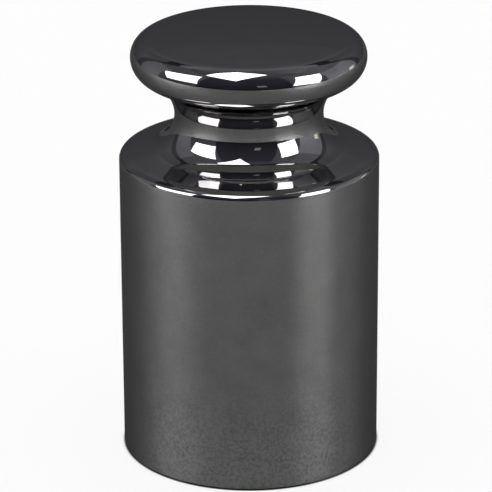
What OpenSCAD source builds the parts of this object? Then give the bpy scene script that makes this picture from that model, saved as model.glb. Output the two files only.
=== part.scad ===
// Knob-form calibration weight: one solid, turned from bar and mirror polished.
// The origin is the centre of the resting face, and +Z is the turning axis.

/* [Body] */
// Diameter of the cylindrical body
body_d = 38; // [32:0.5:48]
// Height of the straight wall, from the resting face to the shoulder's edge
wall_h = 44.9; // [20:0.1:80]
// Radius of the edge round the resting face
base_edge_r = 0.3; // [0.2:0.1:2]

/* [Shoulder] */
// Radius of the tight round at the top of the wall
edge_r = 0.9; // [0.3:0.1:2]
// Slope at which the tight round runs into the easy one, in degrees
edge_slope = 27; // [20:1:45]
// Radius of the easy round that carries on over the shoulder
shoulder_r = 5; // [2:0.1:8]
// Slope of the shoulder towards the neck, in degrees
shoulder_slope = 12; // [2:1:16]

/* [Neck] */
// Diameter of the neck at its waist
neck_d = 21.7; // [18:0.1:23]
// Radius of the groove below the waist, down to the shoulder
groove_lower_r = 5.2; // [3:0.1:6]

/* [Knob] */
// Diameter of the knob at its widest
knob_d = 34.3; // [32:0.1:38]
// Height of the knob's widest plane above the waist
knob_rise = 8.7; // [7.5:0.1:12]
// Length of the short cone between the groove and the rim
under_cone_l = 0.8; // [0.2:0.1:2]
// Radius of the rim below the knob's widest plane
rim_lower_r = 3.4; // [2:0.1:4]
// Radius of the rim above the knob's widest plane
rim_upper_r = 3; // [2:0.1:4]
// Radius of the shallow dome on top
dome_r = 120; // [60:5:300]

/* [Hidden] */
$fn = 180;

body_r = body_d / 2;
neck_r = neck_d / 2;
knob_r = knob_d / 2;

// Touching arcs and lines overlap by this much, so that no sliver is left between them
lap = 0.0001;

// The shoulder's two rounds touch at the edge slope, and the easy one ends at the shoulder slope
edge_dir = [sin(edge_slope), cos(edge_slope)];
edge_centre = [body_r - edge_r, wall_h];
shoulder_dir = [sin(shoulder_slope), cos(shoulder_slope)];
shoulder_centre = edge_centre - (shoulder_r - edge_r + lap) * edge_dir;
slope_start = shoulder_centre + (shoulder_r - lap) * shoulder_dir;

// The straight slope runs in until it touches the groove's lower arc
groove_foot_x = neck_r + groove_lower_r - groove_lower_r * shoulder_dir.x;
slope_l = (slope_start.x - groove_foot_x) / shoulder_dir.y;
slope_end = slope_start + slope_l * [-shoulder_dir.y, shoulder_dir.x];
lower_centre = slope_end + (groove_lower_r - lap) * shoulder_dir;
waist_z = lower_centre.y;
rim_z = waist_z + knob_rise;

// The rim's two rounds share the knob's widest plane
rim_lower_centre = [knob_r - rim_lower_r, rim_z];
rim_upper_centre = [knob_r - rim_upper_r, rim_z];

// The groove's upper arc shares the waist, and a short cone touches it and the rim
rim_reach = rim_lower_centre.x - neck_r;
groove_upper_r = (pow(rim_reach, 2) + pow(knob_rise, 2) - pow(rim_lower_r, 2)
    - pow(under_cone_l, 2)) / (2 * (rim_reach + rim_lower_r));
upper_centre = [neck_r + groove_upper_r, waist_z];
groove_to_rim = rim_lower_centre - upper_centre;
touch_angle = atan2(groove_to_rim.y, groove_to_rim.x)
    + atan2(under_cone_l, groove_upper_r + rim_lower_r);
touch_dir = [cos(touch_angle), sin(touch_angle)];
cone_start = upper_centre + (groove_upper_r - lap) * touch_dir;
cone_end = rim_lower_centre - (rim_lower_r - lap) * touch_dir;

// The dome's sphere is centred on the axis and touches the rim from outside it
dome_drop = sqrt(pow(dome_r - rim_upper_r, 2) - pow(rim_upper_centre.x, 2));
dome_centre = [0, rim_z - dome_drop - lap];
dome_dir = (rim_upper_centre - dome_centre) / norm(rim_upper_centre - dome_centre);
beyond_dome = dome_centre + (dome_r + rim_upper_r) * dome_dir;

// Half section of the straight body, with a small round at the resting face
module body_section() {
    translate([0, base_edge_r])
        square([body_r, wall_h - base_edge_r]);
    square([body_r - base_edge_r, wall_h / 2]);
    translate([body_r - base_edge_r, base_edge_r])
        circle(r = base_edge_r);
}

// Half section of the shoulder's two rounds
module shoulder_section() {
    translate(edge_centre)
        circle(r = edge_r);
    intersection() {
        translate(shoulder_centre)
            circle(r = shoulder_r);
        polygon([
            shoulder_centre,
            shoulder_centre + 2 * shoulder_r * edge_dir,
            shoulder_centre + [0, 2 * shoulder_r]
        ]);
    }
}

// Half section below the waist: the groove's lower arc runs out along the shoulder's slope
module neck_foot_section() {
    difference() {
        polygon([
            [0, shoulder_centre.y],
            shoulder_centre,
            slope_start,
            slope_end,
            lower_centre,
            [0, waist_z]
        ]);
        translate([neck_r, waist_z])
            translate([groove_lower_r, 0])
                circle(r = groove_lower_r);
    }
}

// Half section above the waist, with the cone that carries the rim
module neck_crown_section() {
    difference() {
        polygon([
            [0, waist_z],
            upper_centre,
            cone_start,
            cone_end,
            rim_lower_centre,
            [0, rim_z]
        ]);
        translate([neck_r, waist_z])
            translate([groove_upper_r, 0])
                circle(r = groove_upper_r);
    }
}

// Half section of the knob: the rim's two rounds and the shallow dome
module knob_section() {
    intersection() {
        translate(rim_lower_centre)
            circle(r = rim_lower_r);
        translate([0, rim_z - 2 * rim_lower_r])
            square([2 * knob_r, 2 * rim_lower_r]);
    }
    intersection() {
        translate(rim_upper_centre)
            circle(r = rim_upper_r);
        translate([0, rim_z])
            square([2 * knob_r, 2 * rim_upper_r]);
    }
    intersection() {
        translate(dome_centre)
            circle(r = dome_r);
        polygon([[0, rim_z], rim_upper_centre, beyond_dome, [0, beyond_dome.y]]);
    }
}

module weight() {
    color([0.34, 0.34, 0.36])
        rotate_extrude()
            union() {
                body_section();
                shoulder_section();
                neck_foot_section();
                neck_crown_section();
                knob_section();
            }
}

weight();
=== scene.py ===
import math

import bpy
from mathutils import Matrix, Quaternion, Vector


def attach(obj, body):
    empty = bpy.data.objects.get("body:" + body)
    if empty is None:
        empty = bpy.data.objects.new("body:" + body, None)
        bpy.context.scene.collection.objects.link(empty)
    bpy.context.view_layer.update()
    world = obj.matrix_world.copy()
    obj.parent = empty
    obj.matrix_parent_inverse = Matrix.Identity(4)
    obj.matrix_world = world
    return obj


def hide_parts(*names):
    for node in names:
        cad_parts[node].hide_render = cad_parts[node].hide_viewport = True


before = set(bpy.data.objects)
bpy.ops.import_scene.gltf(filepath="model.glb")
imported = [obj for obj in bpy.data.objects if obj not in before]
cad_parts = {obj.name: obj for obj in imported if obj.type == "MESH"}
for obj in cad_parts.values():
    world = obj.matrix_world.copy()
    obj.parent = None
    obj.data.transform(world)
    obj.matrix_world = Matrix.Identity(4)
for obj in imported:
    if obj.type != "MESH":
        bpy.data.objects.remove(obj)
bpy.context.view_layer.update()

# ---------------------------------------------------------------------------
# The weight: one piece of stainless steel, turned from bar on a lathe and polished to
# a mirror. Its half section is a chain of touching arcs and lines, spun about the Z axis.
# It stands on its flat foot, and nothing is fixed to it.
# ---------------------------------------------------------------------------
MM = 0.001
body_r = 19.0
wall_h = 44.9
base_edge_r = 0.3
edge_r, edge_slope = 0.9, 27.0            # the tight round at the top of the wall
shoulder_r, shoulder_slope = 5.0, 12.0    # the easy round that carries on over the shoulder
neck_r = 10.85
groove_lower_r = 5.2
knob_r = 17.15
knob_rise = 8.7
under_cone_l = 0.8
rim_lower_r, rim_upper_r = 3.4, 3.0
dome_r = 120.0

# Degrees of an arc between two rings of the mesh, and the steps once round
base_edge_step, edge_step, shoulder_step = 15.0, 3.0, 1.0
groove_step, rim_step, dome_step = 1.5, 2.0, 0.25
SEGMENTS = 288


class HalfSection:
    """Points of the half section, from the resting face up to the top, each with its outward normal."""

    def __init__(self):
        self.points = []
        self.normals = []

    def arc(self, centre, radius, start, stop, step, hollow=False):
        """Adds an arc from start to stop, in degrees, and returns its last point."""
        count = max(2, math.ceil(abs(stop - start) / step))
        for i in range(count + 1):
            angle = math.radians(start + (stop - start) * i / count)
            away = (math.cos(angle), math.sin(angle))
            self.points.append((centre[0] + radius * away[0], centre[1] + radius * away[1]))
            self.normals.append((-away[0], -away[1]) if hollow else away)
        return self.points[-1]


section = HalfSection()
section.arc((body_r - base_edge_r, base_edge_r), base_edge_r, -90, 0, base_edge_step)
section.arc((body_r - edge_r, wall_h), edge_r, 0, 90 - edge_slope, edge_step)
edge_angle = math.radians(90 - edge_slope)
shoulder_centre = (body_r - edge_r - (shoulder_r - edge_r) * math.cos(edge_angle),
                   wall_h - (shoulder_r - edge_r) * math.sin(edge_angle))
slope_start = section.arc(shoulder_centre, shoulder_r, 90 - edge_slope, 90 - shoulder_slope, shoulder_step)

# The straight slope runs in until it touches the groove's lower arc
slope = math.radians(shoulder_slope)
groove_foot_x = neck_r + groove_lower_r * (1 - math.sin(slope))
foot_z = slope_start[1] + (slope_start[0] - groove_foot_x) * math.tan(slope)
waist_z = foot_z + groove_lower_r * math.cos(slope)
section.arc((neck_r + groove_lower_r, waist_z), groove_lower_r, 270 - shoulder_slope, 180, groove_step,
            hollow=True)

# The groove's upper arc shares the waist, and a short cone touches it and the rim
rim_z = waist_z + knob_rise
reach = knob_r - rim_lower_r - neck_r
groove_upper_r = (reach**2 + knob_rise**2 - rim_lower_r**2 - under_cone_l**2) / (2 * (reach + rim_lower_r))
to_rim = math.degrees(math.atan2(knob_rise, reach - groove_upper_r)
                      + math.atan2(under_cone_l, groove_upper_r + rim_lower_r))
section.arc((neck_r + groove_upper_r, waist_z), groove_upper_r, 180, to_rim, groove_step, hollow=True)
section.arc((knob_r - rim_lower_r, rim_z), rim_lower_r, to_rim - 180, 0, rim_step)

# The dome's sphere is centred on the axis and touches the rim
dome_edge = math.asin((knob_r - rim_upper_r) / (dome_r - rim_upper_r))
dome_z = rim_z - math.cos(dome_edge) * (dome_r - rim_upper_r)
dome_start = 90 - math.degrees(dome_edge)
section.arc((knob_r - rim_upper_r, rim_z), rim_upper_r, 0, dome_start, rim_step)
section.arc((0.0, dome_z), dome_r, dome_start, 90, dome_step)

vertices, normals, faces = [], [], []
for (x, z), (nx, nz) in zip(section.points[:-1], section.normals[:-1]):
    for s in range(SEGMENTS):
        turn = math.tau * s / SEGMENTS
        vertices.append((x * MM * math.cos(turn), x * MM * math.sin(turn), z * MM))
        normals.append((nx * math.cos(turn), nx * math.sin(turn), nz))
for ring in range(len(section.points) - 2):
    for s in range(SEGMENTS):
        a = ring * SEGMENTS + s
        b = ring * SEGMENTS + (s + 1) % SEGMENTS
        faces.append((a, b, b + SEGMENTS, a + SEGMENTS))
last_ring = len(vertices) - SEGMENTS
top, bottom = len(vertices), len(vertices) + 1
vertices += [(0.0, 0.0, section.points[-1][1] * MM), (0.0, 0.0, 0.0)]
normals += [(0.0, 0.0, 1.0), (0.0, 0.0, -1.0)]
for s in range(SEGMENTS):
    faces.append((last_ring + s, last_ring + (s + 1) % SEGMENTS, top))
for s in range(SEGMENTS):
    faces.append(((s + 1) % SEGMENTS, s, bottom))

mesh = bpy.data.meshes.new("turned_weight")
mesh.from_pydata(vertices, [], faces)
mesh.shade_smooth()
mesh.normals_split_custom_set_from_vertices(normals)
weight = bpy.data.objects.new("turned_weight", mesh)
bpy.context.scene.collection.objects.link(weight)


class Wire:
    """A socket of a material's nodes. Arithmetic on wires that carry plain values adds Math nodes."""

    def __init__(self, tree, socket=None):
        self.tree = tree
        self.socket = socket

    def node(self, kind, settings, sockets, output=0):
        """Adds one node: first its settings, then the values or wires of its sockets."""
        made = self.tree.nodes.new(kind)
        for name, value in settings.items():
            setattr(made, name, value)
        for name, value in sockets.items():
            if isinstance(value, Wire):
                self.tree.links.new(value.socket, made.inputs[name])
            else:
                made.inputs[name].default_value = value
        return Wire(self.tree, made.outputs[output]) if made.outputs else None

    def maths(self, operation, a, b):
        return self.node("ShaderNodeMath", {"operation": operation}, {0: a, 1: b})

    def __add__(self, other):
        return self.maths("ADD", self, other)

    def __sub__(self, other):
        return self.maths("SUBTRACT", self, other)

    def __rsub__(self, other):
        return self.maths("SUBTRACT", other, self)

    def __mul__(self, other):
        return self.maths("MULTIPLY", self, other)

    def __pow__(self, other):
        return self.maths("POWER", self, other)

    def __rpow__(self, other):
        return self.maths("POWER", other, self)

    def __gt__(self, other):
        return self.maths("GREATER_THAN", self, other)

    def __lt__(self, other):
        return self.maths("LESS_THAN", self, other)

    __radd__ = __add__
    __rmul__ = __mul__

    def most(self, other):
        return self.maths("MAXIMUM", self, other)

    def ramp(self, low, high):
        """0 below low, 1 above high, and smooth between them."""
        return self.node("ShaderNodeMapRange", {"interpolation_type": "SMOOTHSTEP"},
                         {"Value": self, "From Min": low, "From Max": high})


def new_paint(name):
    """An empty material, and a wire that adds nodes to it."""
    material = bpy.data.materials.new(name)
    material.use_nodes = True
    material.node_tree.nodes.clear()
    return material, Wire(material.node_tree)


POLISH = 0.069                      # what the dark polish returns of what it mirrors, before its shades
FLAT_PAINTED_SHADE = 0.036                 # painted shade: it returns less at a flat angle than square on, the opposite of real steel, which paints its outline dark
FLAT_FROM, FLAT_TO = 0.35, 0.75
POLISH_ROUGHNESS, FLAT_ROUGHNESS = 0.035, 0.03
SPECULAR_TINT = 0.45
DARKER, PALER = (0.75, 0.75, 0.74), (1.25, 1.24, 1.22)
MIX_A, MIX_B, MIX_RESULT = 6, 7, 2  # the colour sockets of a Mix node
MIDDLE = 0.5                        # of a noise, and of the shades from darker to paler

# The foot of the wall is a little dulled and grainy from being set down, and is painted paler there as
# painted light
WORN_FROM, WORN_TO = 0.001, 0.019
FOOT_PAINTED_LIGHT, WORN_GRAIN_TONE, WORN_ROUGHNESS = 0.3, 2.6, 0.2
HAZE_SCALE, HAZE_TONE, HAZE_ROUGHNESS = 260.0, 0.9, 0.06
GRAIN_SCALE, GRAIN_TONE = 2300.0, 0.5
PIT_SCALE, PIT_SIZE, PIT_TONE = 240.0, 0.036, 0.4

# The lathe's marks are long round the weight and very fine along its axis
MARKS_SCALE, MARKS_TONE = (40.0, 40.0, 5200.0), 0.15
MARKS_DEPTH, MARKS_STRENGTH = 0.000002, 0.25

steel, paint = new_paint("mirror_polished_steel")
place = paint.node("ShaderNodeTexCoord", {}, {}, "Object")
height = paint.node("ShaderNodeSeparateXYZ", {}, {"Vector": place}, "Z")
worn = 1 - height.ramp(WORN_FROM, WORN_TO)
haze = paint.node("ShaderNodeTexNoise", {}, {
    "Vector": place, "Scale": HAZE_SCALE, "Detail": 4.0}) - MIDDLE
grain = paint.node("ShaderNodeTexNoise", {}, {
    "Vector": place, "Scale": GRAIN_SCALE, "Detail": 3.0}) - MIDDLE
pits = paint.node("ShaderNodeTexVoronoi", {}, {
    "Vector": place, "Scale": PIT_SCALE}, "Distance") < PIT_SIZE
drawn_out = paint.node("ShaderNodeMapping", {}, {"Vector": place, "Scale": MARKS_SCALE})
marks = paint.node("ShaderNodeTexNoise", {}, {"Vector": drawn_out, "Scale": 1.0, "Detail": 2.0}) - MIDDLE
tone = haze * HAZE_TONE + grain * (worn * WORN_GRAIN_TONE + GRAIN_TONE) + marks * MARKS_TONE
# the worn ** 2 term makes the colour paler towards the foot: painted light, while the grain, roughness and
# bump there are real wear
tone = tone + pits * PIT_TONE + worn ** 2 * FOOT_PAINTED_LIGHT + MIDDLE
shade = paint.node("ShaderNodeMix", {"data_type": "RGBA"}, {
    "Factor": tone,
    MIX_A: (*(POLISH * part for part in DARKER), 1),
    MIX_B: (*(POLISH * part for part in PALER), 1)}, MIX_RESULT)
relief = paint.node("ShaderNodeBump", {}, {
    "Strength": MARKS_STRENGTH, "Distance": MARKS_DEPTH, "Height": marks + grain * worn})
mirror = paint.node("ShaderNodeBsdfPrincipled", {}, {
    "Base Color": shade, "Metallic": 1.0, "Normal": relief,
    "Roughness": haze * HAZE_ROUGHNESS + (grain * worn) * WORN_ROUGHNESS + POLISH_ROUGHNESS,
    "Specular Tint": (SPECULAR_TINT, SPECULAR_TINT, SPECULAR_TINT, 1)})
# painted shade: towards flat angles the polish gives way to this darker mirror, a painted dark outline
flat = paint.node("ShaderNodeBsdfAnisotropic", {}, {
    "Color": (FLAT_PAINTED_SHADE, FLAT_PAINTED_SHADE, FLAT_PAINTED_SHADE, 1), "Roughness": FLAT_ROUGHNESS})
facing = paint.node("ShaderNodeLayerWeight", {}, {"Blend": 0.5}, "Facing")
skin = paint.node("ShaderNodeMixShader", {}, {0: facing.ramp(FLAT_FROM, FLAT_TO), 1: mirror, 2: flat})
paint.node("ShaderNodeOutputMaterial", {}, {"Surface": skin})
mesh.materials.append(steel)
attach(weight, "root")
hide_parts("weight")

# ---------------------------------------------------------------------------
# Stage: a plain pale floor with a faint sheen, out to the room's walls. It keeps a soft
# shadow, and a painted contact shadow makes it dark right under the foot. In the second and
# further mirror images, floor and room are shown brighter, because the dark polish would all but swallow
# them.
# ---------------------------------------------------------------------------
REPOLISH = 0.7                      # what the second mirror bounce returns in the end
DEEP = 2.7                          # each bounce after it is shown brighter by this as well
FLOOR_R, FLOOR_SIDES = 1.55, 96
FLOOR_DROP = 0.00002                # keeps the floor just clear of the resting face
FLOOR_WHITE, FLOOR_MATT = 0.99, 0.92
FLOOR_ROUGHNESS, FLOOR_SHEEN = 0.55, 0.048
CAMERA_SHARE, MIRROR_SHARE = 0.88, 0.6      # how far the camera and mirrors see it without shadow
# the painted contact shadow: the floor is drawn dark inside the first radius and fades out by the second
PAINTED_SHADOW_R, PAINTED_SHADOW_FADE_R = 0.0189, 0.0194


def stage_mesh(name, points, faces, material):
    """A mesh that belongs to the stage, not to the weight."""
    data = bpy.data.meshes.new(name)
    data.from_pydata(points, [], faces)
    data.materials.append(material)
    made = bpy.data.objects.new(name, data)
    bpy.context.scene.collection.objects.link(made)
    return made


def bounces(paint):
    """Whether a ray met no matt surface, how much brighter it then shows, and whether it bounced again."""
    clear = paint.node("ShaderNodeLightPath", {}, {}, "Diffuse Depth") < 0.5
    further = (paint.node("ShaderNodeLightPath", {}, {}, "Ray Depth") - 1.0).most(0.0)
    gain = (REPOLISH / POLISH) ** (further * clear) * DEEP ** ((further - 1.0).most(0.0) * clear)
    return clear, gain, further > 0.5


def glow(paint, colour, strength):
    """Light of this colour; the strength may change over the surface."""
    scaled = paint.node("ShaderNodeVectorMath", {"operation": "SCALE"}, {0: colour, "Scale": strength})
    return paint.node("ShaderNodeEmission", {}, {"Color": scaled})


floor_paint, paint = new_paint("pale_floor")
clear, gain, again = bounces(paint)
place = paint.node("ShaderNodeNewGeometry", {}, {}, "Position")
from_axis = paint.node("ShaderNodeVectorMath", {"operation": "LENGTH"}, {0: place}, "Value")
# painted contact shadow: a dark ring drawn under the foot's edge, in both the matt floor and its plain
# white
outside_painted_shadow = from_axis.ramp(PAINTED_SHADOW_R, PAINTED_SHADOW_FADE_R)
matt = paint.node("ShaderNodeBsdfPrincipled", {}, {
    "Base Color": outside_painted_shadow * FLOOR_MATT, "Roughness": FLOOR_ROUGHNESS, "Specular IOR Level": FLOOR_SHEEN})
seen = paint.node("ShaderNodeLightPath", {}, {}, "Is Camera Ray")
mirrored = paint.node("ShaderNodeLightPath", {}, {}, "Is Glossy Ray")
mirrored = mirrored + paint.node("ShaderNodeLightPath", {}, {}, "Is Transmission Ray")
plain = (seen * CAMERA_SHARE + mirrored * MIRROR_SHARE).most(again * clear) * outside_painted_shadow
pale = glow(paint, (FLOOR_WHITE, FLOOR_WHITE, FLOOR_WHITE), gain)
mixed = paint.node("ShaderNodeMixShader", {}, {0: plain, 1: matt, 2: pale})
paint.node("ShaderNodeOutputMaterial", {}, {"Surface": mixed})
floor_turns = [math.tau * i / FLOOR_SIDES for i in range(FLOOR_SIDES)]
floor_rim = [(FLOOR_R * math.cos(turn), FLOOR_R * math.sin(turn), -FLOOR_DROP) for turn in floor_turns]
stage_mesh("floor", floor_rim, [tuple(range(FLOOR_SIDES))], floor_paint)

# ---------------------------------------------------------------------------
# Stage: the room that the polish mirrors. Its walls, columns, windows and lamps are cards
# that only mirrors see. They are brighter than real ones by as much as the polish is darker.
# ---------------------------------------------------------------------------
ROOM_CENTRE = Vector((0.0, 0.0, 0.056))     # the middle of the groove
ROOM_R, WINDOW_R = 1.6, 1.4
WALL_STEP = 5.0                             # degrees between two corners of a wall's mesh


def direction(azimuth, elevation):
    """Azimuth 0 is the front and 90 is the right, in degrees."""
    a, e = math.radians(azimuth), math.radians(elevation)
    return Vector((math.sin(a) * math.cos(e), -math.cos(a) * math.cos(e), math.sin(e)))


def card(name, grid, distance, colour, low, high):
    """A card that only mirrors see, through rows of directions; it glows from low to high up its height."""
    rows, across = len(grid), len(grid[0])
    points = [ROOM_CENTRE + direction(*spot) * distance for row in grid for spot in row]
    faces = [(j * across + i, j * across + i + 1, (j + 1) * across + i + 1, (j + 1) * across + i)
             for j in range(rows - 1) for i in range(across - 1)]
    material, paint = new_paint(name)
    clear, gain, _ = bounces(paint)
    strength = clear * gain * low
    if high != low:
        heights = [point.z for point in points]
        place = paint.node("ShaderNodeNewGeometry", {}, {}, "Position")
        height = paint.node("ShaderNodeSeparateXYZ", {}, {"Vector": place}, "Z")
        strength = clear * gain * (height.ramp(min(heights), max(heights)) * (high - low) + low)
    paint.node("ShaderNodeOutputMaterial", {}, {"Surface": glow(paint, colour, strength)})
    material.cycles.emission_sampling = "NONE"
    made = stage_mesh(name, points, faces, material)
    made.visible_camera = made.visible_diffuse = made.visible_shadow = False


def wall(name, colour, azimuths, elevations, low, high):
    """A stretch of the room's walls; low and high are the levels that the polish shows of it."""
    (az0, az1), (el0, el1) = azimuths, elevations
    nu, nv = max(1, round((az1 - az0) / WALL_STEP)), max(1, round((el1 - el0) / WALL_STEP))
    grid = [[(az0 + (az1 - az0) * i / nu, el0 + (el1 - el0) * j / nv) for i in range(nu + 1)]
            for j in range(nv + 1)]
    card(name, grid, ROOM_R, colour, low / POLISH, high / POLISH)


PLAIN = (1.0, 0.985, 1.09)
DUSK = (0.94, 0.94, 1.26)
wall("front_wall", DUSK, (-50, 42), (-14, 52), 0.007, 0.019)
wall("front_wall_top", DUSK, (-50, 42), (52, 62), 0.019, 0.036)
wall("left_window_wall", PLAIN, (-95, -50), (-14, 60), 0.035, 0.05)
wall("left_wall", PLAIN, (-124, -95), (-14, 40), 0.112, 0.08)
wall("left_wall_top", PLAIN, (-124, -95), (40, 60), 0.05, 0.05)
wall("right_window_wall", PLAIN, (42, 80), (-14, 60), 0.035, 0.05)
wall("right_wall", PLAIN, (80, 124), (-14, 35), 0.16, 0.11)
wall("right_wall_top", PLAIN, (80, 124), (35, 60), 0.065, 0.065)
wall("column_right", PLAIN, (124, 132), (-14, 33), 0.036, 0.036)
wall("column_left", PLAIN, (227, 236), (-14, 33), 0.036, 0.036)
wall("column_right_top", PLAIN, (124, 132), (33, 45), 0.036, 0.012)
wall("column_left_top", PLAIN, (227, 236), (33, 45), 0.036, 0.012)
wall("beam_right", PLAIN, (124, 156), (45, 53), 0.013, 0.013)
wall("beam_left", PLAIN, (206, 236), (45, 53), 0.013, 0.013)
wall("back_wall", PLAIN, (132, 227), (-14, 24), 0.058, 0.073)
wall("back_wall_right", PLAIN, (132, 156), (24, 45), 0.068, 0.045)
wall("back_wall_left", PLAIN, (206, 227), (24, 45), 0.068, 0.045)
wall("back_wall_middle", PLAIN, (156, 206), (24, 53), 0.078, 0.068)
wall("back_wall_top", PLAIN, (124, 236), (53, 60), 0.08, 0.10)
wall("ceiling_front", PLAIN, (-124, 80), (60, 90), 0.036, 0.05)
wall("ceiling_back", PLAIN, (80, 236), (60, 90), 0.08, 0.05)

DAYLIGHT = (1.0, 0.985, 1.03)
WARM = (1.0, 0.97, 0.85)
WHITE = (1.0, 1.0, 1.0)
for name, colour, level, one_side, other_side in (
        ("window_left", DAYLIGHT, 25.0, ((-95.5, 29.0), (-58.9, 49.3)), ((-83.5, 8.0), (-50.3, 14.0))),
        ("window_right", DAYLIGHT, 30.0, ((55.3, 44.9), (80.4, 34.5)), ((42.2, 7.0), (69.9, -1.5))),
        ("skylight", DAYLIGHT, 30.0, ((-65.0, 59.0), (-158.7, 77.1)), ((-15.3, 47.8), (53.4, 76.9))),
        ("lamp_right", WARM, 0.6 / POLISH, ((111, 6), (119, 6)), ((111, -8), (119, -8))),
        ("lamp_front", WHITE, 0.13 / POLISH, ((7, 22), (16, 22)), ((9, 14), (18, 14)))):
    card(name, (one_side, other_side), WINDOW_R, colour, level, level)

# ---------------------------------------------------------------------------
# Light and camera: even white light from all sides, which only the floor takes, and a long
# lens that looks down from the front and aims a little to the left of the weight's axis.
# ---------------------------------------------------------------------------
world = bpy.data.worlds.new("plain_light")
world.use_nodes = True
background = world.node_tree.nodes["Background"]
background.inputs["Color"].default_value = (1, 1, 1, 1)
background.inputs["Strength"].default_value = 1.0
bpy.context.scene.world = world

FRAME_PX, FOCAL_PX = 492, 3288.0
SENSOR_MM = 36.0
NEAREST, FARTHEST = 0.01, 10.0
CAMERA_DISTANCE, AIM_Z = 0.4855, 0.03079
PITCH_DEGREES, ROLL_DEGREES = 21.6, -0.31
ASIDE_PX = 3.9                      # how far right of the frame's middle the axis comes to lie
camera_data = bpy.data.cameras.new("camera")
camera_data.sensor_width = SENSOR_MM
camera_data.lens = FOCAL_PX / FRAME_PX * SENSOR_MM
camera_data.clip_start, camera_data.clip_end = NEAREST, FARTHEST
camera = bpy.data.objects.new("camera", camera_data)
bpy.context.scene.collection.objects.link(camera)
pitch = math.radians(PITCH_DEGREES)
yaw = math.atan2(ASIDE_PX, FOCAL_PX)
look = Vector((-math.sin(yaw) * math.cos(pitch), math.cos(yaw) * math.cos(pitch), -math.sin(pitch)))
roll = Quaternion((0, 0, 1), math.radians(ROLL_DEGREES))
camera.location = (0.0, -CAMERA_DISTANCE * math.cos(pitch), AIM_Z + CAMERA_DISTANCE * math.sin(pitch))
camera.rotation_mode = "QUATERNION"
camera.rotation_quaternion = look.to_track_quat("-Z", "Y") @ roll
bpy.context.scene.camera = camera

MIRROR_BOUNCES = 12
scene = bpy.context.scene
scene.view_settings.view_transform = "Standard"
scene.cycles.glossy_bounces = MIRROR_BOUNCES
